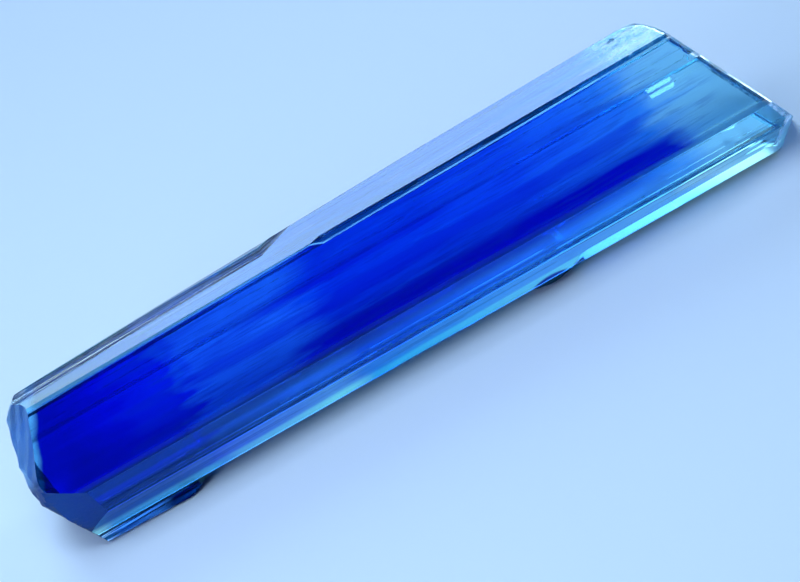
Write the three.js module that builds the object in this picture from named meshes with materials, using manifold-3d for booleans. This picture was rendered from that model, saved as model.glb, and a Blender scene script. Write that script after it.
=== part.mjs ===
// A loose tourmaline crystal lying on one of its prism faces: a long prism with a face every thirty degrees
// and stepped, striated sides, one dominant slanted end face, and a broken base. A ledge of the last growth
// layer is left at the base end, and a small rib nearer the tip. Millimetres, +Z up, +X from base to tip.
import * as THREE from "three";
import { mergeVertices } from "three/addons/utils/BufferGeometryUtils.js";
import Module from "manifold-3d";

const wasm = await Module();
wasm.setup();

// ---- Driving sizes ----
// A point across the crystal is [towards, up]: along the broad face's normal, and up along the broad face.
// An azimuth is measured in that plane from the broad face's normal, so the broad face's own azimuth is 0.
const LENGTH = 56; // broken base to the outermost point of the tip
const REST_FACE = 240; // azimuth of the prism face that it lies on
const REST_REACH = 5.0; // how far that face is from the crystal's axis
const END_SLOPE = Math.tan(THREE.MathUtils.degToRad(27.3)); // rhombohedral face r against the base plane c
const LEAST_BEVEL = 0.012; // how far in from a sharp corner a face that has run out still cuts it
const RAMP = 0.03; // width of the riser between two growth layers
const LEAST_LAYER = 0.03; // width left to a layer that is pressed against the face's edge
const FULL_DEPTH_WIDTH = 0.3; // width at which a growth layer reaches its whole depth
const LAYER_TAPER = 2.4; // length over which a growth layer sinks in or rises out
const LAYER_START = [-0.15, 0.35]; // where sunk layers start, as shares of the length
const LAYER_END = [0.65, 1.1]; // where sunk layers end, as shares of the length
const UNEVEN = 0.7; // how far a riser may stray from even spacing, as a share of the spacing
const STATION_STEP = 2.8; // spacing of the cross-sections along the prism
const OVERRUN = 4; // how far the prism runs past both ends before they are cut

// The prism faces in order of azimuth. reach gives a face's distance from the crystal's axis as corners
// [along, distance] of a line along the crystal, and a face that reaches past its neighbours has run out
// there. layers and depth are its growth layers and how far the lowest of them lies below the face.
const FACES = [
  { azimuth: 0, reach: [[0, 5.17]], layers: 4, depth: 0.02 },
  { azimuth: 30, reach: [[0, 6.13], [24.2, 6.37], [25.0, 6.22], [56, 6.5]], layers: 1, depth: 0 },
  { azimuth: 60, reach: [[0, 5.64], [56, 6.26]], layers: 4, depth: 0.03 },
  { azimuth: 78, reach: [[0, 4.86], [12, 5.22], [21, 5.38], [24.4, 6.1], [56, 6.6]], layers: 4, depth: 0.07 },
  { azimuth: 90, reach: [[0, 4.75], [4, 5.03], [12, 5.3], [32, 5.83], [56, 6.2]], layers: 4, depth: 0.08 },
  { azimuth: 120, reach: [[0, 4.85], [56, 5.35]], layers: 9, depth: 0.13 },
  { azimuth: 150, reach: [[0, 5.3], [56, 5.38]], layers: 6, depth: 0.12 },
  { azimuth: 180, reach: [[0, 5.24]], layers: 6, depth: 0.1 },
  { azimuth: 210, reach: [[0, 5.82]], layers: 5, depth: 0.12 },
  { azimuth: REST_FACE, reach: [[0, REST_REACH]], layers: 1, depth: 0 },
  { azimuth: 270, reach: [[0, 5.94], [56, 6.12]], layers: 1, depth: 0 },
  { azimuth: 288, reach: [[38.6, 6.4], [39.6, 6.2], [53.6, 6.2], [54.8, 6.4]], layers: 1, depth: 0 },
  { azimuth: 300, reach: [[0, 6.295]], layers: 4, depth: 0.08 },
  { azimuth: 330, reach: [[0, 6.037]], layers: 5, depth: 0.1 },
];

// The tip: planes along + slope * (reach towards azimuth) = at. The first is the dominant r face, the next
// two are its small twins, and the rest are the worn corner at the top and the blunted point at the bottom.
const TIP_PLANES = [
  { azimuth: 90, slope: END_SLOPE, at: 53.7 },
  { azimuth: 330, slope: END_SLOPE, at: 59.3 },
  { azimuth: 210, slope: END_SLOPE, at: 58.5 },
  { azimuth: 88, slope: 1.06, at: 56.5 },
  { azimuth: 86, slope: 2.0, at: 62.0 },
  { azimuth: 84, slope: 4.6, at: 77.7 },
  { azimuth: 110, slope: 1.9, at: 61.6 },
  { azimuth: 272, slope: 1.16, at: 61.6 },
  { azimuth: 285, slope: 2.2, at: 68.1 },
];

// The broken base: planes along = at + slope * (reach towards azimuth), and the solid is beyond all of them.
const BASE_PLANES = [
  { azimuth: 98, slope: 0.22, at: 0.12 },
  { azimuth: 268, slope: 0.18, at: -0.27 },
  { azimuth: 272, slope: 0.62, at: -1.33 },
  { azimuth: 38.5, slope: 0.64, at: -1.42 },
  { azimuth: 86, slope: 1.05, at: -3.1 },
  { azimuth: 325, slope: 3.2, at: -16 },
  { azimuth: 352, slope: 0.5, at: -1.9 },
  { azimuth: 128, slope: 0.75, at: -2.5 },
  { azimuth: 158, slope: 0.42, at: -1.1 },
  { azimuth: 196, slope: 0.66, at: -2.3 },
  { azimuth: 236, slope: 0.8, at: -2.6 },
];

// The ledge and the rib stand out of the face at 270. Each is an outline [along, up] carried across it.
const LEDGE = {
  outline: [
    [-3, -5.6], [-3, -6.5], [2.2, -6.6], [8.6, -6.8], [9.2, -6.8], [9.6, -6.68], [10, -6.45], [10.4, -6.22],
    [10.9, -6.04], [11.6, -5.92], [12, -5.6],
  ],
  towards: [0.6, 2.4],
};
const RIB = {
  outline: [
    [34.4, -5.6], [34.6, -6.02], [35.5, -6.1], [36.2, -6.27], [36.9, -6.36], [37.5, -6.31], [38.2, -6.15],
    [39.3, -6.09], [39.6, -5.6],
  ],
  towards: [1.2, 2.05],
};
const CLEAR_OF_REST = 0.08; // how far the ledge and the rib stay above the face that the crystal lies on

// Chips: round hollows of a radius and depth, each on the prism face with that azimuth.
const CHIPS = [
  { along: 48.1, up: 5.65, azimuth: 60, radius: 0.28, depth: 0.08 },
  { along: 48.7, up: 5.13, azimuth: 60, radius: 0.75, depth: 0.1 },
  { along: 50.1, up: 5.01, azimuth: 60, radius: 0.9, depth: 0.09 },
  { along: 49.6, up: 5.71, azimuth: 60, radius: 0.6, depth: 0.06 },
  { along: 51.2, up: 5.43, azimuth: 60, radius: 0.8, depth: 0.08 },
  { along: 52.55, up: 2.6, azimuth: 0, radius: 0.7, depth: 0.16 },
  { along: 9.6, up: -2.2, azimuth: 180, radius: 1.4, depth: 0.12 },
  { along: 31.5, up: -3.08, azimuth: 210, radius: 0.9, depth: 0.1 },
];

// Shell-shaped hollows of the break, as balls taken away from the base.
const SCOOPS = [
  { along: -5.6, towards: -1.8, up: 1.3, radius: 6.1 },
  { along: -3.9, towards: -2.4, up: -3.4, radius: 4.9 },
  { along: -3.6, towards: 3.1, up: -1.2, radius: 4.1 },
];

// ---- Directions across the crystal ----
const radians = THREE.MathUtils.degToRad;
const normalAt = (azimuth) => [Math.cos(radians(azimuth)), Math.sin(radians(azimuth))];
const dot = (p, q) => p[0] * q[0] + p[1] * q[1];

// The part's Y and Z of [towards, up], turned so that the rest face looks straight down.
const turn = radians(REST_FACE - 270);
const acrossToPart = ([towards, up]) => [
  -towards * Math.cos(turn) - up * Math.sin(turn),
  -towards * Math.sin(turn) + up * Math.cos(turn),
];

// A repeatable scatter between low and high: the fraction left by a large multiple of a sine.
function scatter(n, [low, high] = [0, 1]) {
  const wide = Math.sin(n * 127.1 + 311.7) * 43758.5453;
  return low + (high - low) * (wide - Math.floor(wide));
}

// ---- Cross-section ----
// The value at x of a line through corners [x, value], level before its first and after its last corner.
function lineAt(corners, x) {
  const next = corners.findIndex((c) => c[0] > x);
  if (next === 0) return corners[0][1];
  if (next === -1) return corners.at(-1)[1];
  const [x0, v0] = corners[next - 1];
  const [x1, v1] = corners[next];
  return v0 + ((v1 - v0) * (x - x0)) / (x1 - x0);
}

// Where the lines of faces i and j meet, or null if they are parallel.
function crossing(i, j, distances) {
  const p = normalAt(FACES[i].azimuth);
  const q = normalAt(FACES[j].azimuth);
  const det = p[0] * q[1] - p[1] * q[0];
  if (Math.abs(det) < 1e-6) return null;
  return [
    (distances[i] * q[1] - distances[j] * p[1]) / det,
    (distances[j] * p[0] - distances[i] * q[0]) / det,
  ];
}

function inside(point, distances, skip) {
  return FACES.every((f, m) => m === skip || dot(point, normalAt(f.azimuth)) <= distances[m] + 1e-9);
}

// How far the outline that the other faces bound reaches in face k's direction.
function reachWithout(k, distances) {
  const n = normalAt(FACES[k].azimuth);
  let reach = -Infinity;
  for (let i = 0; i < FACES.length; i++) {
    for (let j = i + 1; j < FACES.length; j++) {
      if (i === k || j === k) continue;
      const corner = crossing(i, j, distances);
      if (corner && inside(corner, distances, k)) reach = Math.max(reach, dot(corner, n));
    }
  }
  return reach;
}

// Each face's distance at x. A face that has run out is set to graze the corner that it leaves.
function distancesAt(x) {
  const distances = FACES.map((f) => lineAt(f.reach, x));
  for (const k of FACES.keys()) {
    distances[k] = Math.min(distances[k], reachWithout(k, distances) - LEAST_BEVEL);
  }
  return distances;
}

// The corners of the outline at x: corner k is where face k begins, going round by azimuth.
function cornersAt(x) {
  const distances = distancesAt(x);
  return FACES.map((_, k) => crossing((k + FACES.length - 1) % FACES.length, k, distances));
}

// How far along face k's own line a point across the crystal lies.
const placeOn = (k, point) => dot(point, normalAt(FACES[k].azimuth + 90));

// Every face's growth layers. The risers between them run straight along the crystal, so they are placed
// once, on the outline at mid-length. The first and last layers of a face stay level with it.
const midCorners = cornersAt(LENGTH / 2);
const GROWTH = FACES.map(({ layers, depth }, k) => {
  const from = placeOn(k, midCorners[k]);
  const to = placeOn(k, midCorners[(k + 1) % FACES.length]);
  return Array.from({ length: layers }, (_, i) => {
    const outer = i === 0 || i === layers - 1;
    const start = LENGTH * scatter(k * 31 + i * 7 + 2, LAYER_START);
    const end = LENGTH * scatter(k * 13 + i * 5 + 3, LAYER_END);
    const lowest = outer ? 0 : scatter(k * 57 + i * 11 + 4, [depth / 4, depth]);
    const stray = scatter(k * 17 + i * 3 + 1, [-UNEVEN / 2, UNEVEN / 2]);
    return {
      riser: from + ((to - from) * (i + 1 + stray)) / layers,
      depthAt: (x) => lowest * Math.max(0, Math.min((x - start) / LAYER_TAPER, (end - x) / LAYER_TAPER, 1)),
    };
  });
});

// The outline across the crystal at x: every face's first corner, then both sides of each riser on it.
function outlineAt(x) {
  const corners = cornersAt(x);
  return FACES.flatMap((f, k) => {
    const normal = normalAt(f.azimuth);
    const sideways = normalAt(f.azimuth + 90);
    const level = dot(corners[k], normal);
    const from = placeOn(k, corners[k]);
    const to = placeOn(k, corners[(k + 1) % FACES.length]);
    const count = GROWTH[k].length;
    const gap = Math.min(LEAST_LAYER + RAMP, (to - from) / (count + 1));
    const risers = GROWTH[k].slice(0, -1).map((layer, i) =>
      Math.min(Math.max(layer.riser, from + gap * (i + 1)), to - gap * (count - 1 - i)),
    );
    const at = (place, depth) => [
      normal[0] * (level - depth) + sideways[0] * place,
      normal[1] * (level - depth) + sideways[1] * place,
    ];
    // A layer that has little width left has little depth left too.
    const depths = GROWTH[k].map((layer, i) => {
      const width = (risers[i] ?? to) - (risers[i - 1] ?? from);
      return layer.depthAt(x) * Math.min(1, Math.max(0, width - gap) / FULL_DEPTH_WIDTH);
    });
    const half = Math.min(RAMP, gap / 2) / 2;
    return [
      corners[k],
      ...risers.flatMap((place, i) => [at(place - half, depths[i]), at(place + half, depths[i + 1])]),
    ];
  });
}

// ---- Solids ----
function solidOf(geometry) {
  for (const name of Object.keys(geometry.attributes)) {
    if (name !== "position") geometry.deleteAttribute(name);
  }
  const merged = mergeVertices(geometry, 1e-4);
  return new wasm.Manifold(
    new wasm.Mesh({
      numProp: 3,
      vertProperties: new Float32Array(merged.attributes.position.array),
      triVerts: new Uint32Array(merged.index.array),
    }),
  );
}

// The prism, longer than the crystal at both ends: outlines at stations along X, skinned and capped.
function prism() {
  const bends = FACES.flatMap((f) => f.reach.map((corner) => corner[0]));
  const even = [];
  for (let x = -OVERRUN; x <= LENGTH + OVERRUN; x += STATION_STEP) {
    if (bends.every((bend) => Math.abs(bend - x) > STATION_STEP / 4)) even.push(x);
  }
  const stations = [...new Set([...even, ...bends])].sort((p, q) => p - q);
  const rings = stations.map((x) => outlineAt(x).map((p) => [x, ...acrossToPart(p)]));
  const around = rings[0].length;
  const vertices = [...rings.flat(), [stations[0], 0, 0], [stations.at(-1), 0, 0]];
  const first = vertices.length - 2;
  const last = vertices.length - 1;
  const triangles = [];
  for (let j = 0; j < around; j++) {
    const next = (j + 1) % around;
    for (let i = 0; i + 1 < rings.length; i++) {
      const [p, q] = [i * around + j, i * around + next];
      const [r, s] = [p + around, q + around];
      triangles.push(p, r, q, q, r, s);
    }
    const end = (rings.length - 1) * around;
    triangles.push(first, j, next, last, end + next, end + j);
  }
  const geometry = new THREE.BufferGeometry();
  geometry.setAttribute("position", new THREE.Float32BufferAttribute(vertices.flat(), 3));
  geometry.setIndex(triangles);
  return solidOf(geometry);
}

// A block that fills the half of space beyond a plane with this outward normal, offset from the origin.
function halfSpace(normal, offset) {
  const size = 200;
  const outwards = normal.clone().normalize();
  const box = new THREE.BoxGeometry(size, size, size).translate(0, 0, size / 2 + offset);
  box.applyQuaternion(new THREE.Quaternion().setFromUnitVectors(new THREE.Vector3(0, 0, 1), outwards));
  return solidOf(box);
}

// What lies past the plane along + slope * (reach towards azimuth) = at.
function pastTip({ azimuth, slope, at }) {
  const [y, z] = acrossToPart(normalAt(azimuth));
  const normal = new THREE.Vector3(1, slope * y, slope * z);
  return halfSpace(normal, at / normal.length());
}

// What lies short of the plane along = at + slope * (reach towards azimuth).
function shortOfBase({ azimuth, slope, at }) {
  const [y, z] = acrossToPart(normalAt(azimuth));
  const normal = new THREE.Vector3(-1, slope * y, slope * z);
  return halfSpace(normal, -at / normal.length());
}

// A bar carried across the crystal from an outline [along, up], kept clear of the surface it lies on.
function bar({ outline, towards }) {
  const shape = new THREE.Shape(outline.map(([along, up]) => new THREE.Vector2(along, up)));
  const geometry = new THREE.ExtrudeGeometry(shape, { depth: towards[1] - towards[0], bevelEnabled: false });
  const place = geometry.attributes.position;
  for (let i = 0; i < place.count; i++) {
    const across = [towards[0] + place.getZ(i), place.getY(i)];
    place.setXYZ(i, place.getX(i), ...acrossToPart(across));
  }
  const below = halfSpace(new THREE.Vector3(0, 0, -1), REST_REACH - CLEAR_OF_REST);
  return solidOf(geometry).subtract(below);
}

// The ball that takes a round hollow of this radius and depth out of a prism face.
function chip({ along, up, azimuth, radius, depth }) {
  const normal = normalAt(azimuth);
  const distance = lineAt(FACES.find((f) => f.azimuth === azimuth).reach, along);
  const ball = (radius * radius + depth * depth) / (2 * depth);
  const sideways = (up - distance * normal[1]) / Math.cos(radians(azimuth));
  const centre = [
    normal[0] * (distance + ball - depth) - normal[1] * sideways,
    normal[1] * (distance + ball - depth) + normal[0] * sideways,
  ];
  return solidOf(new THREE.IcosahedronGeometry(ball, 3).translate(along, ...acrossToPart(centre)));
}

function scoop({ along, towards, up, radius }) {
  return solidOf(new THREE.IcosahedronGeometry(radius, 4).translate(along, ...acrossToPart([towards, up])));
}

function crystal() {
  let solid = prism().add(bar(LEDGE)).add(bar(RIB));
  for (const plane of TIP_PLANES) solid = solid.subtract(pastTip(plane));
  for (const plane of BASE_PLANES) solid = solid.subtract(shortOfBase(plane));
  for (const hollow of SCOOPS) solid = solid.subtract(scoop(hollow));
  for (const hollow of CHIPS) solid = solid.subtract(chip(hollow));
  return solid;
}

function geometryOf(solid) {
  const { vertProperties, triVerts, numProp } = solid.getMesh();
  const places = [];
  for (let i = 0; i < vertProperties.length; i += numProp) places.push(...vertProperties.slice(i, i + 3));
  const indexed = new THREE.BufferGeometry();
  indexed.setAttribute("position", new THREE.Float32BufferAttribute(places, 3));
  indexed.setIndex([...triVerts]);
  const faceted = indexed.toNonIndexed();
  faceted.computeVertexNormals();
  return faceted;
}

// ---- The part ----
const material = new THREE.MeshStandardMaterial({
  color: 0x0a32c8,
  roughness: 0.08,
  metalness: 0,
  transparent: true,
  opacity: 0.85,
});
const mesh = new THREE.Mesh(geometryOf(crystal()), material);
mesh.name = "tourmaline_crystal";

// The origin is under the middle of the crystal, on the surface that it lies on.
mesh.geometry.computeBoundingBox();
const middle = mesh.geometry.boundingBox.getCenter(new THREE.Vector3());
mesh.position.set(-middle.x, -middle.y, -mesh.geometry.boundingBox.min.z);

const part = new THREE.Group();
part.add(mesh);

export default part;
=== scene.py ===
import math
from collections import namedtuple

import bpy
import numpy as np
from mathutils import Matrix, Vector


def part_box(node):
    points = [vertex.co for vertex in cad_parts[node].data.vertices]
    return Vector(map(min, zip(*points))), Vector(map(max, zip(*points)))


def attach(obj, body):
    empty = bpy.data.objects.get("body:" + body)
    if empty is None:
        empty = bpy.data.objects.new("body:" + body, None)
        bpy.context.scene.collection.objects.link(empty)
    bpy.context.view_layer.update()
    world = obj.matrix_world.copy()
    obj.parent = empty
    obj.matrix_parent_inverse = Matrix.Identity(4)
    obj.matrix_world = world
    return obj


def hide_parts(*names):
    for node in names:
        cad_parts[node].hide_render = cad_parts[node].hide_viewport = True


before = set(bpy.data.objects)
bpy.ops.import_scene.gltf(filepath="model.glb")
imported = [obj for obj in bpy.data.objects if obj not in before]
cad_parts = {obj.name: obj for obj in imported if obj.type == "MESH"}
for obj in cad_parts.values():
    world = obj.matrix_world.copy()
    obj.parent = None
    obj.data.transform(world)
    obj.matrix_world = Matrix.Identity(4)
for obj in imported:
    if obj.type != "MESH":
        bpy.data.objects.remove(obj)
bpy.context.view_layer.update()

MM = 0.001


# ---- The surface it lies on and the light ----
# A plain pale tabletop, made as one plane that runs out of sight. Soft panels give the light: each lights
# one side of the tabletop, or stands where a part of the crystal mirrors it or lets it through.
TABLE_SIDE = 6.0
TABLE_COLOUR = (0.50, 0.66, 0.92)

bpy.ops.mesh.primitive_plane_add(size=TABLE_SIDE, location=(0, 0, 0))
table_top = bpy.context.object
table_top.name = "table_top"
table_finish = bpy.data.materials.new("pale_table")
table_finish.use_nodes = True
table_shader = table_finish.node_tree.nodes["Principled BSDF"]
table_shader.inputs["Base Color"].default_value = (*TABLE_COLOUR, 1)
table_shader.inputs["Roughness"].default_value = 0.7
table_shader.inputs["Specular IOR Level"].default_value = 0.2
table_top.data.materials.append(table_finish)


def soft_panel(name, place, width, height, radiance, colour):
    """A rectangular light at place, in metres, that faces the crystal and that the camera doesn't see. Its
    power is pi times its area times the radiance of its face."""
    data = bpy.data.lights.new(name, "AREA")
    data.shape = "RECTANGLE"
    data.size = width
    data.size_y = height
    data.energy = math.pi * width * height * radiance
    data.color = colour
    lamp = bpy.data.objects.new(name, data)
    lamp.location = place
    lamp.rotation_euler = (-Vector(place)).to_track_quat("-Z", "Y").to_euler()
    lamp.visible_camera = False
    bpy.context.collection.objects.link(lamp)


# Over the broken end, for most of the light on the tabletop.
soft_panel("key_panel", (-0.06, -0.015, 0.14), 0.12, 0.12, 3.4, (0.84, 0.93, 1.0))
# In front, where the two small steps near the tip mirror it as bright marks.
soft_panel("front_panel", (0.035, -0.18, 0.30), 0.08, 0.05, 12.0, (0.84, 0.95, 1.0))
# Behind: the top facet mirrors it, and its light comes out along the crystal's lowest edge.
soft_panel("back_panel", (0, 0.567, 0.314), 0.30, 0.50, 4.8, (0.72, 0.92, 0.98))
# To the right of the tip, for the tabletop there.
soft_panel("right_panel", (0.52, 0.13, 0.24), 0.18, 0.18, 7.0, (0.80, 0.92, 1.0))
# High in front: its light comes out along the lower edge of the broad face.
soft_panel("top_panel", (0, -0.139, 0.428), 0.30, 0.13, 1.4, (0.80, 0.92, 1.0))
# Low in front of the broken end, for the break and the tabletop before it.
soft_panel("fill_panel", (-0.22, -0.22, 0.14), 0.16, 0.16, 5.5, (0.84, 0.93, 1.0))

scene = bpy.context.scene
world = bpy.data.worlds.new("soft_room")
world.use_nodes = True
room = world.node_tree.nodes["Background"]
room.inputs["Color"].default_value = (0.35, 0.62, 1.0, 1)
room.inputs["Strength"].default_value = 0.10
scene.world = world
scene.view_settings.view_transform = "Standard"
# Light is turned back inside the crystal many times before it comes out.
scene.cycles.max_bounces = 20
scene.cycles.transmission_bounces = 20


# ---- The crystal ----
# One tourmaline prism of gem quality, deep blue with a paler teal tip, grown with stepped, striated sides,
# a single slanted end face and a broken base. It lies loose on one of its prism faces.
# A point on it is along, towards and up: along it from base to tip, along the broad face's normal, and up
# along the broad face. An azimuth is measured from the broad face's normal. Lengths are in millimetres.
LENGTH = 56.0
REST_REACH = 5.0  # from the crystal's axis to the face it lies on
REST_AZIMUTH = 240
LEAST_BEVEL = 0.012
NODE = "tourmaline_crystal"

# A prism face: its azimuth; its distance from the axis as corners (along, distance); its growth layers, as
# their width or as the places of their risers on the face's own line; how deep the lowest layer lies; how
# hazy it is, as a roughness; and how strongly it is coloured. A colour of 2 or more paints shade on the
# face, and one below 1 takes its tint away, so that what it lets through shows white, in part a painted
# highlight.
Face = namedtuple("Face", "azimuth reach layers depth haze colour", defaults=(0.03, 1.0))
FACES = (
    Face(0, ((0, 5.17),), 1.3, 0.002, 0.03),
    Face(15, (), 9, 0.0, 0.16, 0.3),
    # Faces 30, 78 and 90 have colour values of 2 and more: painted shade on these facets.
    Face(30, ((0, 6.13), (24.2, 6.37), (25.0, 6.22), (56, 6.5)), 0.22, 0.015, 0.05, 3.0),
    Face(60, ((0, 5.64), (56, 6.26)), 0.8, 0.010, 0.10),
    Face(78, ((0, 4.86), (12, 5.22), (21, 5.38), (24.4, 6.1), (56, 6.6)),
         (-2.65, -2.2, -1.85, -1.3, -0.95, -0.5, -0.1, 0.4), 0.04, 0.10, 2.0),
    Face(90, ((0, 4.75), (4, 5.03), (12, 5.3), (32, 5.83), (56, 6.2)), 0.7, 0.06, 0.12, 2.0),
    Face(120, ((0, 4.85), (56, 5.35)), 0.36, 0.10, 0.06),
    Face(150, ((0, 5.3), (56, 5.38)), 0.34, 0.06, 0.06),
    Face(180, ((0, 5.24),), 0.9, 0.02, 0.06),
    Face(210, ((0, 5.82),), 0.3, 0.02, 0.20),
    Face(REST_AZIMUTH, ((0, REST_REACH),), 1.2, 0.0, 0.20),
    Face(270, ((0, 5.94), (56, 6.12)), 0.3, 0.02, 0.06),
    # The sliver face has no tint, so that the light it lets through shows white: in part a painted
    # highlight.
    Face(288, ((38.6, 6.4), (39.6, 6.2), (53.6, 6.2), (54.8, 6.4)), 0.5, 0.0, 0.14, 0.0),
    Face(300, ((0, 6.295),), 0.24, 0.015, 0.12),
    Face(330, ((0, 6.037),), (-2.1, -1.95, -1.7, -1.5, -1.25), 0.05, 0.05),
)
EDGE_BEVEL = 0.016  # how far a face with no distance of its own cuts in behind the edge that it softens
AZIMUTHS = np.radians([face.azimuth for face in FACES])
COUNT = len(FACES)


def face_distances(along):
    """Each face's distance from the axis at along, an array of any shape. A face that has run out is set to
    graze the corner that its neighbours leave: the least weighted sum of two faces' distances, with the
    weights with which their normals add up to its own."""
    beyond = 2 * LENGTH
    distances = np.array([np.interp(along, *zip(*(face.reach or ((0, beyond),)))) for face in FACES])
    for k, face in enumerate(FACES):
        support = np.full(np.shape(along), np.inf)
        for i in range(1, 6):
            for j in range(1, 6):
                before, after = (k - i) % COUNT, (k + j) % COUNT
                back = (AZIMUTHS[k] - AZIMUTHS[before]) % (2 * np.pi)
                on = (AZIMUTHS[after] - AZIMUTHS[k]) % (2 * np.pi)
                if back + on < np.pi - 0.01:
                    weighted = np.sin(on) * distances[before] + np.sin(back) * distances[after]
                    support = np.minimum(support, weighted / np.sin(back + on))
        distances[k] = np.minimum(distances[k], support - (LEAST_BEVEL if face.reach else EDGE_BEVEL))
    return distances


def face_span(k, distances):
    """Where face k starts and ends along its own line, from the foot of the axis on it."""
    before = AZIMUTHS[k] - AZIMUTHS[k - 1]
    after = AZIMUTHS[(k + 1) % COUNT] - AZIMUTHS[k]
    start = (distances[k] * np.cos(before) - distances[k - 1]) / np.sin(before)
    end = (distances[(k + 1) % COUNT] - distances[k] * np.cos(after)) / np.sin(after)
    return start, end


# Growth layers: level strips that run along a face, each sunk a little, and deeper in some stretches than
# in others. Steep risers join them. On some faces they also lean round the crystal, by an angle in degrees
# between two limits.
RISER = 0.03
LAYER_STRETCH = 7.0  # how far along the crystal a layer keeps its depth
LAYER_LEAN = {
    78: (-6.8, -1.6),
    90: (-7, 7),
    120: (-6, 6),
    150: (0, 2.5),
    210: (-5, 0.5),
    300: (-0.8, 0.8),
    330: (-2, 2),
}
rng = np.random.default_rng(29)


def growth_layers(face, start, end):
    """A face's risers, as places along its own line, and its layers: their depths at even stations along
    the crystal, their leans as slopes, and the place of the middle of each."""
    if isinstance(face.layers, tuple):
        risers = np.array(face.layers)
    else:
        wanted = max(int(round((end - start) / face.layers)), 1)
        spacing = (end - start) / wanted
        risers = start + spacing * (np.arange(1, wanted) + rng.uniform(-0.38, 0.38, wanted - 1))
    count = len(risers) + 1
    stations = int(LENGTH / LAYER_STRETCH) + 3
    sunk = rng.uniform(0, 1, (count, 1)) * rng.normal(0.6, 0.6, (count, stations)).clip(0, 1)
    lean = rng.uniform(*LAYER_LEAN.get(face.azimuth, (0, 0)), count)
    edges = np.concatenate([[start], risers, [end]])
    return risers, face.depth * sunk, np.tan(np.radians(lean)), (edges[:-1] + edges[1:]) / 2


# Every point round the crystal, in order: the face it is on, its nominal place along the face's line, and
# the growth layer it is on. A face's first point is the corner that it starts from. Faces with relief get
# extra points, evenly spaced, and the broad face gets pairs at the edges of two small steps near the tip.
FILL = {0: 0.45, 60: 0.13, 90: 0.3, 120: 0.3, 270: 0.12}  # the spacing of the extra points
STEPS = ((1.70, 1.38), (1.26, 0.96))  # the steps' upper and lower edges on the broad face
STEP_EDGE = 0.015  # half the width of a step's edge
layers, leans, ring_face, ring_place, ring_layer = [], [], [], [], []
middle = face_distances(np.array(LENGTH / 2))
for k, face in enumerate(FACES):
    start, end = face_span(k, middle)
    risers, sunk, lean, heart = growth_layers(face, start, end)
    layers.append(sunk)
    leans.append((lean, heart))
    places = np.concatenate([risers - RISER / 2, risers + RISER / 2])
    layer = np.concatenate([np.arange(len(risers)), np.arange(1, len(risers) + 1)])
    if face.azimuth in FILL:
        extra = np.arange(start + 0.05, end, FILL[face.azimuth])
        if face.azimuth == 0:
            pairs = np.ravel(STEPS)[:, None] + [-STEP_EDGE, STEP_EDGE]
            extra = np.concatenate([extra, pairs.ravel()])
        nearest = np.min(np.abs(extra[:, None] - risers[None, :]), axis=1, initial=1)
        extra = extra[nearest > RISER]
        places = np.concatenate([places, extra])
        layer = np.concatenate([layer, np.searchsorted(risers, extra)])
    order = np.argsort(places)
    ring_face.append(np.full(len(places) + 1, k))
    ring_place.append(np.concatenate([[start], places[order]]))
    ring_layer.append(np.concatenate([[-1], layer[order]]))
ring_face = np.concatenate(ring_face)
ring_place = np.concatenate(ring_place)
ring_layer = np.concatenate(ring_layer)
AROUND = len(ring_face)

PRESSED = 0.003  # spacing of the points that a narrower stretch of a face presses against its edge

# The ledge of the last growth layer at the base end, and the small rib nearer the tip, stand out of the
# lowest face: outlines as (along, distance from the axis), and the stretch that they take across the face.
LEDGE = (
    (-3, 6.5), (2.2, 6.6), (8.6, 6.8), (9.2, 6.8), (9.6, 6.68),
    (10, 6.45), (10.4, 6.22), (10.9, 6.04), (11.6, 5.9),
)
LEDGE_TOWARDS = (0.6, 2.2)
RIB = (
    (34.5, 5.9), (35.5, 6.1), (36.2, 6.27), (36.9, 6.36),
    (37.5, 6.31), (38.2, 6.15), (39.3, 6.09), (39.7, 5.9),
)
RIB_TOWARDS = (1.2, 2.05)
CLEAR_OF_REST = 0.08  # how far they stay above the surface that the crystal lies on

# Shell-shaped chips: azimuth of the face, along, place on the face's line, radius and depth.
CHIPS = (
    (60, 48.1, 0.6, 0.28, 0.06),
    (60, 48.7, -0.45, 0.75, 0.05),
    (60, 50.1, -0.7, 0.9, 0.045),
    (60, 49.6, 0.7, 0.6, 0.03),
    (60, 51.2, 0.1, 0.8, 0.04),
    (60, 43.5, -1.95, 0.3, 0.03),
    (0, 52.55, 2.6, 0.7, 0.16),
    (0, 25.15, 2.95, 0.28, 0.07),
    (0, 41.4, -3.0, 0.25, 0.06),
    (0, 45.3, -2.95, 0.22, 0.06),
    (0, 46.8, -3.0, 0.3, 0.07),
    (180, 9.6, 2.2, 1.4, 0.12),
    (210, 31.5, 0.2, 0.9, 0.10),
)
STEP_STRETCH = (48.2, 50.45)  # where along the crystal the two small steps lie
STEP_SLOPE = math.tan(math.radians(14))
ROUGH_CORNER = (46.2, 47.8)  # the top face grows rough between these places, up to the tip
ROUGH_DEPTH = 0.012


def bumps(first, second, size):
    """Smooth irregular hills from 0 to 1: a half, plus a quarter of each of two sines that run in turned,
    warped directions."""
    u = first / size + 0.8 * np.sin(second / size * 1.3 + 0.6)
    v = second / size + 0.8 * np.sin(first / size * 1.1 + 2.1)
    return 0.5 + 0.25 * np.sin(u * 1.7 + v * 0.6) + 0.25 * np.sin(v * 1.9 - u * 0.7 + 1.3)


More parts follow.
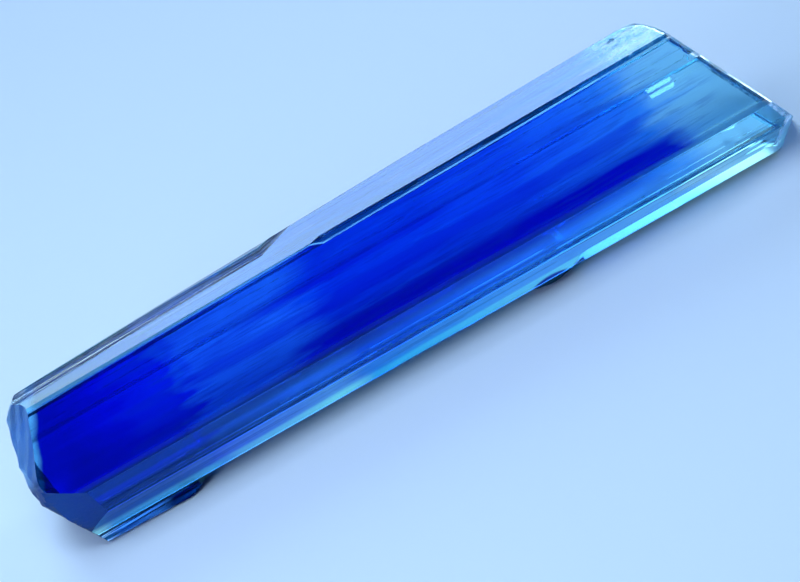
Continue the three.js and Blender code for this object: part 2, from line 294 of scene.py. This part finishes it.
def relief(azimuth, along, place, distance):
    """How far the surface stands out of the face at azimuth, beyond its growth layers."""
    out = np.zeros(np.shape(along))
    if azimuth == 270:
        limit = (REST_REACH - CLEAR_OF_REST + place / 2) / math.cos(math.radians(30))
        for outline, (near, far) in ((LEDGE, LEDGE_TOWARDS), (RIB, RIB_TOWARDS)):
            reach = np.minimum(np.interp(along, *zip(*outline), left=0, right=0), limit)
            within = (place > near) & (place < far)
            out = np.maximum(out, np.where(within, reach - distance, 0))
    if azimuth == 0:
        for upper, lower in STEPS:
            inside = np.clip(np.minimum(along - STEP_STRETCH[0], STEP_STRETCH[1] - along) / 0.2, 0, 1)
            within = (place > lower) & (place < upper)
            out -= np.where(within, (place - lower) * STEP_SLOPE * inside, 0)
    if azimuth == 60:
        rough = np.clip((along - ROUGH_CORNER[0]) / (ROUGH_CORNER[1] - ROUGH_CORNER[0]), 0, 1)
        out -= ROUGH_DEPTH * rough * (bumps(along, place, 0.22) + 0.5 * bumps(along, place + 3, 0.09))
    for face, chip_along, chip_place, radius, depth in CHIPS:
        if face == azimuth:
            bearing = np.arctan2(place - chip_place, along - chip_along)
            lobes = 1 + 0.22 * np.sin(3 * bearing + chip_along) + 0.12 * np.sin(5 * bearing + chip_place)
            off = np.hypot(along - chip_along, place - chip_place) / (radius * lobes)
            out -= depth * np.clip(1 - off**2, 0, 1) ** 0.7
    return out


EDGE_FADE = 0.08  # over how much of a face's width its layers rise to its edges


def section(along):
    """The points [towards, up] round the crystal. along has a column for each point of the ring. A layer
    changes its depth in the middle third between two stations."""
    across = np.empty((*along.shape, 2))
    for k, face in enumerate(FACES):
        columns = np.flatnonzero(ring_face == k)
        x = along[:, columns]
        distances = face_distances(x)
        start, end = face_span(k, distances)
        nominal = ring_place[columns]
        steps = np.arange(len(columns))
        place = np.minimum(nominal, end - PRESSED * (len(columns) - steps))
        place = np.maximum(place, start + PRESSED * steps)
        place[:, 0] = start[:, 0]
        free = np.clip((nominal - start) / EDGE_FADE, 0, 1) * np.clip((end - nominal) / EDGE_FADE, 0, 1)
        depths = layers[k]
        station = np.clip(x / LAYER_STRETCH, 0, depths.shape[1] - 1.001)
        low = station.astype(int)
        layer = np.maximum(ring_layer[columns], 0)
        share = np.clip((station - low) * 3 - 1, 0, 1)
        sunk = depths[layer, low] * (1 - share) + depths[layer, low + 1] * share
        lean, heart = leans[k]
        sunk = sunk + lean[layer] * (nominal - heart[layer])
        out = relief(face.azimuth, x, place, distances[k]) - sunk * free
        out[:, 0] = 0
        level = distances[k] + out
        normal, sideways = AZIMUTHS[k], AZIMUTHS[k] + np.pi / 2
        across[:, columns, 0] = level * np.cos(normal) + place * np.cos(sideways)
        across[:, columns, 1] = level * np.sin(normal) + place * np.sin(sideways)
    return across


# The ends are height fields over the section. A plane of the tip is along + slope * (reach towards azimuth)
# = at, and one of the base is along = at + slope * (reach towards azimuth); each is given as its azimuth,
# slope and at. The scoops are shell-shaped hollows of the break: the part of a ball, given by its centre and
# radius, that reaches in.
END_SLOPE = math.tan(math.radians(27.3))
END_FACE = (90, END_SLOPE, 53.7)
END_BEVELS = (
    (330, END_SLOPE, 59.3),
    (210, END_SLOPE, 58.5),
    (88, 1.06, 56.5),
    (86, 2.0, 62.0),
    (84, 4.6, 77.7),
    (110, 1.9, 61.6),
    (272, 1.16, 61.6),
    (285, 2.2, 68.1),
)
BREAKS = (
    (98, 0.22, 0.12),
    (268, 0.18, -0.27),
    (272, 0.62, -1.33),
    (38.5, 0.64, -1.42),
    (86, 1.05, -3.1),
    (325, 3.2, -16),
    (352, 0.5, -1.9),
    (128, 0.75, -2.5),
    (158, 0.42, -1.1),
    (196, 0.66, -2.3),
    (236, 0.8, -2.6),
)
SCOOPS = ((-5.6, -1.8, 1.3, 6.1), (-3.9, -2.4, -3.4, 4.9), (-3.6, 3.1, -1.2, 4.1))
RIPPLE_CENTRE = (-5.5, 5.0)
RIPPLE_HEIGHT = 0.035


def reach_towards(azimuth, across):
    """How far the points across, as [towards, up], lie from the axis in the direction of azimuth."""
    bearing = math.radians(azimuth)
    return across[..., 0] * math.cos(bearing) + across[..., 1] * math.sin(bearing)


def end_face_height(across):
    """How far along the end face's plane is over each point across."""
    azimuth, slope, at = END_FACE
    return at - slope * reach_towards(azimuth, across)


def end_bevel_height(across):
    """How far along the lowest of the planes round the end face is over each point across."""
    return np.min([at - slope * reach_towards(az, across) for az, slope, at in END_BEVELS], axis=0)


def tip_height(across):
    return np.minimum(end_face_height(across), end_bevel_height(across))


def base_height(across):
    """The highest of the break's planes and of the balls of its scoops, with low ripples over it."""
    planes = [at + slope * reach_towards(az, across) for az, slope, at in BREAKS]
    balls = []
    for along, towards, up, radius in SCOOPS:
        off = (across[..., 0] - towards) ** 2 + (across[..., 1] - up) ** 2
        balls.append(along + np.sqrt(np.maximum(radius**2 - off, 0)))
    height = np.max(planes + balls, axis=0)
    from_corner = np.hypot(across[..., 0] - RIPPLE_CENTRE[0], across[..., 1] - RIPPLE_CENTRE[1])
    ripples = np.sin(from_corner * 5.2 + 0.8 * np.sin(across[..., 0])) * np.clip(from_corner / 6, 0, 1)
    return height + RIPPLE_HEIGHT * ripples


def rim(height, along):
    """Where each line round the crystal meets an end, found by putting its height back into the section."""
    for _ in range(25):
        along = height(section(along[None, :])[0])
    return along


# The edge round the tip is worn off by up to RIM_BEVEL, in little chips of a few points each.
RIM_BEVEL = 0.17
CHIP_POINTS = 4
base_rim = rim(base_height, np.full(AROUND, 1.0))
wear = RIM_BEVEL * rng.uniform(0.5, 1.2, AROUND // CHIP_POINTS + 1).repeat(CHIP_POINTS)[:AROUND]
tip_rim = rim(tip_height, np.full(AROUND, 53.0)) - wear

# The prism's stations: level ones along the middle, and ones that lean over to meet each rim.
BODY = (5.0, 47.2)
CLOSER_FROM = 40.6  # from here to the tip the stations stand closer
NOTCH = (24.2, 24.45, 24.7, 25.0)  # where the top facet steps outward
spread = np.arange(BODY[0], CLOSER_FROM, 0.5)
close = np.arange(CLOSER_FROM, BODY[1], 0.2)
body = np.unique(np.concatenate([spread, close, NOTCH, [BODY[1]]]))
lean_in = np.linspace(0, 1, 12)[:-1, None]
lean_out = np.linspace(0, 1, 34)[1:, None]
along = np.concatenate([
    base_rim + (BODY[0] - base_rim) * lean_in,
    np.repeat(body[:, None], AROUND, axis=1),
    BODY[1] + (tip_rim - BODY[1]) * lean_out,
])
side = np.concatenate([along[..., None], section(along)], axis=2)


def cap(rim_across, centre, shares, height):
    """Rings of an end, from its rim inwards, at shares of the way out from its centre to the rim. Their
    points are [along, towards, up]."""
    rings = centre + (rim_across - centre) * shares[..., None]
    return np.concatenate([height(rings)[..., None], rings], axis=2)


# The end face's outline falls exactly on a ring: how far out along each spoke the bevels cut it.
FIRST_RING, WIDEST_FACE = 0.98, 0.975  # shares of the way out to the rim
tip_centre = np.array([0.0, -0.4])
spokes = np.linspace(0, 1, 400)[:, None]
on_spokes = tip_centre + (side[-1, :, 1:] - tip_centre) * spokes[..., None]
cut = end_bevel_height(on_spokes) < end_face_height(on_spokes)
cut[-1] = True
face_share = np.minimum(spokes[np.argmax(cut, axis=0), 0], WIDEST_FACE)
outer = np.linspace(1, 0, 6)[1:, None]
inner = np.linspace(1, 0, 8)[1:-1, None]
first = np.full((1, AROUND), FIRST_RING)
tip_shares = np.concatenate([first, face_share + (WIDEST_FACE - face_share) * outer, face_share * inner])
tip_cap = cap(side[-1, :, 1:], tip_centre, tip_shares, tip_height)

base_centre = np.array([-0.3, 0.0])
base_shares = np.repeat(np.linspace(1, 0, 34)[1:-1, None], AROUND, axis=1)
base_cap = cap(side[0, :, 1:], base_centre, base_shares, base_height)

rings = np.concatenate([base_cap[::-1], side, tip_cap])
ends = np.array([
    [base_height(base_centre[None, :])[0], *base_centre],
    [tip_height(tip_centre[None, :])[0], *tip_centre],
])


def crystal_mesh(name, rings, ends):
    """A closed skin over rings of points, with a fan to a centre point at each end."""
    count, around, _ = rings.shape
    vertices = np.concatenate([rings.reshape(-1, 3), ends])
    i, j = np.meshgrid(np.arange(count - 1), np.arange(around), indexing="ij")
    here, on = i * around + j, i * around + (j + 1) % around
    quads = np.stack([here, here + around, on + around, on], axis=-1).reshape(-1, 4)
    j = np.arange(around)
    next_j = (j + 1) % around
    last = (count - 1) * around
    first_fan = np.stack([np.full(around, count * around), j, next_j], axis=-1)
    last_fan = np.stack([np.full(around, count * around + 1), last + next_j, last + j], axis=-1)
    mesh = bpy.data.meshes.new(name)
    mesh.from_pydata(vertices, [], quads.tolist() + first_fan.tolist() + last_fan.tolist())
    mesh.update()
    return mesh


# From along, towards and up to the part's own frame: the rest face looks straight down, and the crystal
# lies where its node's box has it.
turn = math.radians(REST_AZIMUTH - 270)
ALONG = np.array([1.0, 0, 0])
TOWARDS = np.array([0, -math.cos(turn), -math.sin(turn)])
UP = np.array([0, -math.sin(turn), math.cos(turn)])
to_part = np.stack([ALONG, TOWARDS, UP])
points = rings.reshape(-1, 3) @ to_part * MM
low, high = [np.array(corner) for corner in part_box(NODE)]
shift = (low + high) / 2 - (points.min(axis=0) + points.max(axis=0)) / 2
shift[2] = REST_REACH * MM

mesh = crystal_mesh("tourmaline", rings @ to_part * MM + shift, ends @ to_part * MM + shift)
crystal = bpy.data.objects.new("tourmaline", mesh)
bpy.context.collection.objects.link(crystal)
mesh.shade_smooth()
mesh.set_sharp_from_angle(angle=math.radians(9))

# Kept on the mesh: each facet's haze, how strongly it is coloured (with painted shade or painted highlight
# on a few facets), and whether it is part of the break, of the end face or of the worn rim round the tip.
BREAK_HAZE = 0.32
END_HAZE = 0.34
strips = len(rings) - 1
haze = np.tile(np.array([face.haze for face in FACES])[ring_face], (strips, 1))
colour = np.tile(np.array([face.colour for face in FACES])[ring_face], (strips, 1))
broken = np.zeros((strips, AROUND))
broken[:len(base_cap)] = 1
end_face = np.zeros((strips, AROUND))
end_face[len(base_cap) + len(side) - 1:] = 1
rim_strip = np.zeros((strips, AROUND))
rim_strip[len(base_cap) + len(side) - 2:len(base_cap) + len(side)] = 1
haze[broken > 0] = BREAK_HAZE
haze[end_face > 0] = END_HAZE
colour[end_face > 0] = 1
facet_values = (
    ("haze", haze, BREAK_HAZE, END_HAZE),
    ("colour", colour, 1, 1),
    ("broken", broken, 1, 0),
    ("end_face", end_face, 0, 1),
    ("rim", rim_strip, 0, 0),
)
for name, values, at_base, at_tip in facet_values:
    attribute = mesh.attributes.new(name, "FLOAT", "FACE")
    fans = [np.full(AROUND, at_base), np.full(AROUND, at_tip)]
    attribute.data.foreach_set("value", np.concatenate([values.ravel(), *fans]).astype(np.float32))


class Link:
    """An output in a material's node tree. Arithmetic on links and numbers adds Math nodes."""

    def __init__(self, tree, socket=None):
        self.tree = tree
        self.socket = socket

    def node(self, kind, settings, inputs, output=0):
        """Adds a node, makes its settings, sets or links its inputs, and gives one of its outputs."""
        node = self.tree.nodes.new("ShaderNode" + kind)
        for name, value in settings.items():
            if name == "stops":
                ramp = node.color_ramp
                while len(ramp.elements) < len(value):
                    ramp.elements.new(1)
                for element, (place, colour) in zip(ramp.elements, value):
                    element.position = place
                    element.color = (*colour, 1)
            else:
                setattr(node, name, value)
        for name, value in inputs.items():
            if isinstance(value, Link):
                self.tree.links.new(value.socket, node.inputs[name])
            else:
                node.inputs[name].default_value = value
        return Link(self.tree, node.outputs[output])

    def maths(self, operation, first, second=0.0):
        return self.node("Math", {"operation": operation}, {0: first, 1: second})

    def __add__(self, other):
        return self.maths("ADD", self, other)

    __radd__ = __add__

    def __sub__(self, other):
        return self.maths("SUBTRACT", self, other)

    def __rsub__(self, other):
        return self.maths("SUBTRACT", other, self)

    def __mul__(self, other):
        return self.maths("MULTIPLY", self, other)

    __rmul__ = __mul__

    def __truediv__(self, other):
        return self.maths("DIVIDE", self, other)

    def rise(self, low, high):
        """From 0 at low to 1 at high, smoothly."""
        return self.node("MapRange", {"interpolation_type": "SMOOTHSTEP"}, {0: self, 1: low, 2: high})

    def within(self, low, high, soft):
        """1 between low and high, falling to 0 over soft on each side."""
        return self.rise(low - soft, low) * (1 - self.rise(high, high + soft))

    def noise(self, scale, detail=2.0, roughness=0.5):
        sockets = {"Vector": self, "Scale": scale, "Detail": detail, "Roughness": roughness}
        return self.node("TexNoise", {}, sockets)

    def mix(self, first, second):
        """Colour first where this value is 0 and second where it is 1."""
        return self.node("Mix", {"data_type": "RGBA"}, {0: self, 6: first, 7: second}, 2)

    def along_stops(self, stops):
        """The colour for this value, in millimetres along the crystal, between stops of (along, colour)."""
        shares = [(at / LENGTH, tone) for at, tone in stops]
        return self.node("ValToRGB", {"stops": shares}, {"Fac": self / LENGTH})


# Clear blue crystal, all of one material: light passes through it, bent as tourmaline bends it, and loses
# most of its red inside. Its tint, haze, frost and fine relief change over the surface.
finish = bpy.data.materials.new("tourmaline")
finish.use_nodes = True
tree = finish.node_tree
shader = tree.nodes["Principled BSDF"]
gem = Link(tree)  # a link to nothing, from which nodes without inputs start

# Coordinates in the crystal's own directions and in millimetres: along, away from the broad face, and up.
here = gem.node("TexCoord", {}, {}, "Object")
offset = -np.array([1, -1, 1]) * (to_part @ shift) / MM
to_crystal = {"Vector": here, "Location": offset, "Rotation": (-turn, 0, 0), "Scale": (1 / MM,) * 3}
point = gem.node("Mapping", {"vector_type": "POINT"}, to_crystal)
parts = gem.node("SeparateXYZ", {}, {"Vector": point})
along_at, away_at, up_at = [Link(tree, output) for output in parts.socket.node.outputs]
# The colour attribute carries each facet's tint strength, and also painted shade and a painted highlight.
haze_at, facet_tint_and_painted_light_at, broken_at, end_at, rim_at = [
    gem.node("Attribute", {"attribute_name": name}, {}, "Fac") for name, *_ in facet_values
]
# Noise over the stretched coordinates makes streaks twenty times longer than they are wide.
stretched = gem.node("Mapping", {}, {"Vector": point, "Scale": (0.05, 1, 1)})
streaks = stretched.noise(1.5, 3)
fine_streaks = stretched.noise(6, 3)
cloud = point.noise(0.4, 3)

# Colour zones from the base to the tip, with ragged ends. Light crosses the surface twice, so the colour
# seen is about the product of what the front and the rear let through, each the root of its own tint.
skew = up_at * 0.25 * along_at.rise(37, 46)
zone_place = along_at + skew + 7.0 * (streaks - 0.5) + 3.0 * (cloud - 0.5)
front = 1 - away_at.rise(-1.0, 1.0)
zones = zone_place.along_stops((
    (0.0, (0.0, 0.0, 0.56)),
    (7.7, (0.0, 0.0, 0.72)),
    (11.9, (0.0, 0.002, 0.82)),
    (13.1, (0.03, 0.15, 0.92)),
    (20.5, (0.04, 0.19, 0.95)),
    (23.0, (0.0, 0.040, 0.78)),
    (31.0, (0.002, 0.06, 0.85)),
    (38.0, (0.015, 0.10, 0.95)),
    (43.0, (0.04, 0.20, 1.0)),
    (47.0, (0.10, 0.36, 1.0)),
    (50.0, (0.80, 0.90, 1.0)),
    (56.0, (1.0, 1.0, 1.0)),
))

# Lengthwise bands and streaks in the front, darker and paler than the zones.
band_place = up_at + 1.1 * (streaks - 0.5)
dark_band = band_place.within(-2.8, -1.9, 0.8) * zone_place.within(21.5, 47.6, 2.4)
tint = (dark_band * front).mix(zones, (0.0, 0.0, 0.60, 1))
deep_streaks = (streaks - 0.5).rise(-0.02, 0.16) * zone_place.within(10, 46, 3) * front
tint = (deep_streaks * 0.6).mix(tint, (0.0, 0.002, 0.50, 1))
hair_lines = (fine_streaks - 0.5).rise(0.0, 0.12) * zone_place.within(12, 50, 3) * front
tint = (hair_lines * 0.45).mix(tint, (0.0, 0.01, 0.50, 1))
pale_streaks = (0.48 - stretched.noise(2.6, 4, 0.6)).rise(0.0, 0.10) * zone_place.within(22, 45, 3)
pale_streaks = pale_streaks * (1 - dark_band) * (1 - up_at.rise(2.8, 3.2))
tint = (pale_streaks * 0.5 * front).mix(tint, (0.04, 0.22, 1.0, 1))

long_stripe = band_place.within(-0.5, 0.1, 0.4) * zone_place.within(14, 45, 3)
short_stripe = band_place.within(1.35, 1.75, 0.3) * zone_place.within(21, 31, 4)
stripes = (long_stripe + short_stripe) * front
tint = (stripes * 0.72).mix(tint, (0.0, 0.002, 0.62, 1))

# The upper half by the base is the deepest blue, and the rear faces there are a little paler.
deep_base = (1 - zone_place.rise(2.0, 10.5)) * up_at.rise(-2.4, -0.8) * front
tint = deep_base.mix(tint, (0.0, 0.0, 0.20, 1))
rear_base = (1 - front) * (1 - zone_place.rise(11.0, 12.8))
tint = rear_base.mix(tint, (0.01, 0.12, 0.78, 1))

# Towards the lowest edge the crystal is thin and its colour pales, most of all nearer the tip.
thin = (1 - up_at.rise(-4.4, -3.3)) * front
shoulder = up_at.within(-3.62, -3.15, 0.35) * front
thin_tone = zone_place.along_stops((
    (0.0, (0.0, 0.001, 0.010)),
    (9.0, (0.0, 0.002, 0.016)),
    (14.0, (0.0, 0.006, 0.06)),
    (20.0, (0.03, 0.12, 0.44)),
    (26.0, (0.12, 0.36, 0.75)),
    (31.0, (0.30, 0.70, 1.0)),
    (42.0, (0.50, 0.95, 1.0)),
    (47.0, (0.9, 0.95, 1.0)),
))
shoulder_tone = zone_place.along_stops((
    (20.0, (0.0, 0.002, 0.05)),
    (28.0, (0.0, 0.008, 0.18)),
    (36.0, (0.0, 0.012, 0.24)),
    (40.0, (0.0, 0.03, 0.40)),
    (43.0, (0.01, 0.08, 0.50)),
    (46.0, (0.08, 0.30, 0.80)),
    (49.0, (0.80, 0.90, 1.0)),
))
tint = (shoulder * 0.95).mix(tint, shoulder_tone)
tint = (thin * 0.92).mix(tint, thin_tone)

# The steep facet below it catches the light from behind the crystal, and is paler still along its lower
# edge.
underside = (1 - up_at.rise(-4.93, -4.88)) * front
under_tone = zone_place.along_stops((
    (0.0, (0.0, 0.0008, 0.005)),
    (9.0, (0.0, 0.0016, 0.010)),
    (13.0, (0.008, 0.006, 0.030)),
    (18.0, (0.020, 0.014, 0.032)),
    (26.0, (0.08, 0.060, 0.040)),
    (34.0, (0.08, 0.070, 0.044)),
    (42.0, (0.06, 0.040, 0.042)),
    (48.0, (0.03, 0.025, 0.042)),
    (51.2, (0.012, 0.020, 0.040)),
    (52.6, (0.40, 0.55, 0.70)),
))
low_tone = zone_place.along_stops((
    (0.0, (0.03, 0.028, 0.028)),
    (13.0, (0.08, 0.064, 0.038)),
    (18.0, (0.14, 0.10, 0.046)),
    (26.0, (0.35, 0.28, 0.052)),
    (34.0, (0.25, 0.20, 0.048)),
))
lowest = 1 - (up_at + 0.35 * (streaks - 0.5)).rise(-5.75, -5.5)
tint = underside.mix(tint, lowest.mix(under_tone, low_tone))

# Dark streaks follow the edge above that facet.
edge_streaks = up_at.within(-5.0, -4.70, 0.12) * (0.55 + 0.45 * (fine_streaks - 0.5).rise(-0.05, 0.05))
edge_streaks = edge_streaks * (1 - underside) * front * (1 - along_at.rise(49, 52))
tint = (edge_streaks * 0.85).mix(tint, (0.0, 0.003, 0.07, 1))

# The ledge is pale and streaked by the base and nearly black blue at its other end, as the rib is.
ledge = (1 - up_at.rise(-6.1, -5.98)) * front * (1 - along_at.rise(11.5, 12.5))
navy = (along_at + 5.0 * (streaks - 0.5)).rise(4.5, 8.0)
ledge_tone = navy.mix((0.25, 0.10, 0.18, 1), (0.0, 0.0, 0.0005, 1))
ledge_tone = (streaks - 0.5).rise(0.01, 0.09).mix(ledge_tone, (0.0, 0.0008, 0.006, 1))
tint = ledge.mix(tint, ledge_tone)
rib = 1 - (up_at + 0.12 * (along_at - 36.9) * (along_at - 36.9)).rise(-5.85, -5.72)
tint = (rib * front).mix(tint, (0.0, 0.0005, 0.008, 1))

# Painted shade: the upper facets by the base are darkened to a dull blue grey, and the ridge facet over the
# broad face to a dark teal that turns pale near the tip. The sliver by the tip is clear of tint, so that the
# light it lets through shows white: in part a painted highlight.
painted_shade_tone = gem.node("ValToRGB", {"stops": ((0.42, (0.0, 0.006, 0.02)), (0.62, (0.03, 0.22, 0.48)))},
                {"Fac": stretched.noise(2.6, 4, 0.7)})
# Painted shade on the ridge facet, turning pale near the tip.
painted_shade_ridge_facet = (facet_tint_and_painted_light_at - 2).rise(0, 1)
tint = (facet_tint_and_painted_light_at - 1).rise(0, 1).mix(tint, painted_shade_tone)
tint = painted_shade_ridge_facet.mix(tint, zone_place.rise(42, 48).mix((0.06, 0.16, 0.17, 1), (0.5, 0.8, 1.0, 1)))
# Faces with a colour below 1 lose their tint: in part a painted highlight, on the sliver by the tip.
tint = (1 - facet_tint_and_painted_light_at).rise(0, 1).mix(tint, (1.0, 1.0, 1.0, 1))

# The break, the worn top corner by the tip and the tip's rim are paler and full of fine fractures, which
# throw light back. The lower part of the break stays dark.
rind = 1 - (along_at - 0.43 * up_at + 0.9 * (cloud - 0.5)).rise(0.9, 1.7)
deep_rind = (1 - along_at.rise(1.8, 3.6)) * (1 - front)
tint = gem.maths("MAXIMUM", rind, deep_rind).mix(tint, (0.40, 0.68, 0.92, 1))
teal = along_at.rise(51.0, 55) * up_at.rise(-4.5, 0.5)
tint = (teal * 0.6).mix(tint, (0.55, 0.62, 0.72, 1))
corner = along_at.within(47.6, 52.0, 1.6) * up_at.rise(3.7, 4.5)
low_break = broken_at * (1 - up_at.rise(-1.4, -0.1))
low_corner = end_at * (1 - up_at.rise(-4.7, -4.3))
tint = low_break.mix(tint, (0.0, 0.001, 0.06, 1))
mottled = point.noise(1.6, 4, 0.6).rise(0.38, 0.66)
chipped = point.noise(3.0, 3).rise(0.40, 0.60)
frost = corner * mottled * 0.17 + low_corner * 0.22
frost = frost + (broken_at - low_break) * (0.16 + 0.20 * mottled)
frost = frost + rim_at * (0.30 + 0.45 * chipped)
tint = (frost.rise(0.0, 0.3) * 0.8).mix(tint, (0.62, 0.82, 1.0, 1))

# Haze: each facet's own, with a frosted patch, the worn corner and the end of the ridge added.
frosted_patch = along_at.within(48.9, 50.5, 0.5) * up_at.within(-1.4, 0.1, 0.3) * (1 - away_at.rise(-4, 0))
ridge_end = (1 - facet_tint_and_painted_light_at).rise(0, 0.6) * along_at.rise(45.5, 47.5)
haze_total = haze_at + 0.35 * corner * mottled + 0.35 * frosted_patch * cloud + 0.05 * (fine_streaks - 0.5)
haze_total = haze_total + 0.30 * ridge_end

# Along the broad face's lower edge and one edge behind it, fine scratches blur what is seen through it.
scratched = up_at.within(-3.10, -2.75, 0.12) * front + up_at.within(1.35, 1.72, 0.12) * (1 - front)
haze_total = haze_total + 0.30 * scratched * (1 - end_at) * (1 - broken_at)

# Relief too fine for the mesh: grooves along the prism, deeper on the upper facets by the base that carry
# painted shade, and pits on the break, the end face and the worn corner.
grooves = stretched.noise(9, 4)
pitted = point.noise(3.5, 4)
height = grooves * 0.3 * (1 - end_at) * (1 - broken_at)
height = height + pitted * (broken_at * 6 + end_at * 0.6 + corner * 4)
height = height + stretched.noise(1.6, 3) * 6 * (facet_tint_and_painted_light_at - 1).rise(0, 1) * (1 - painted_shade_ridge_facet)
bump = gem.node("Bump", {}, {"Strength": 1.0, "Distance": 0.006 * MM, "Height": height})

tree.links.new(frost.socket, shader.inputs["Metallic"])
tree.links.new(tint.socket, shader.inputs["Base Color"])
tree.links.new(haze_total.socket, shader.inputs["Roughness"])
tree.links.new(bump.socket, shader.inputs["Normal"])
shader.inputs["Transmission Weight"].default_value = 1
shader.inputs["IOR"].default_value = 1.63
shader.inputs["Specular Tint"].default_value = (0.25, 0.80, 1.0, 1)
# Through 10 mm of it a third of the red light is left, four fifths of the green and nearly all the blue.
absorb = tree.nodes.new("ShaderNodeVolumeAbsorption")
absorb.inputs["Color"].default_value = (0, 0.815, 0.99, 1)
absorb.inputs["Density"].default_value = 105
tree.links.new(absorb.outputs[0], tree.nodes["Material Output"].inputs["Volume"])
mesh.materials.append(finish)

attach(crystal, "root")
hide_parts(NODE)


# ---- Camera ----
# It looks straight at the broad face, thirty degrees down, and is rolled so that the crystal rises to the
# right.
VIEW_ROLL = math.radians(29.7)
VIEW_WIDTH = 53.0 * MM  # how much of the crystal's own plane the picture is wide
VIEW_CENTRE = (27.8, 2.0, -1.79)  # along, towards and up, in mm, at the middle of the picture
LENS = 400
SENSOR = 36

camera_data = bpy.data.cameras.new("camera")
camera_data.lens = LENS
camera_data.sensor_width = SENSOR
camera = bpy.data.objects.new("camera", camera_data)
bpy.context.collection.objects.link(camera)
centre = np.array(VIEW_CENTRE) @ to_part * MM + shift
right = ALONG * math.cos(VIEW_ROLL) - UP * math.sin(VIEW_ROLL)
upright = ALONG * math.sin(VIEW_ROLL) + UP * math.cos(VIEW_ROLL)
distance = VIEW_WIDTH * LENS / SENSOR
pose = Matrix.Identity(4)
for column, axis in enumerate((right, upright, TOWARDS, centre + TOWARDS * distance)):
    for row in range(3):
        pose[row][column] = axis[row]
camera.matrix_world = pose
camera_data.clip_start = 0.01
camera_data.clip_end = 20
scene.camera = camera
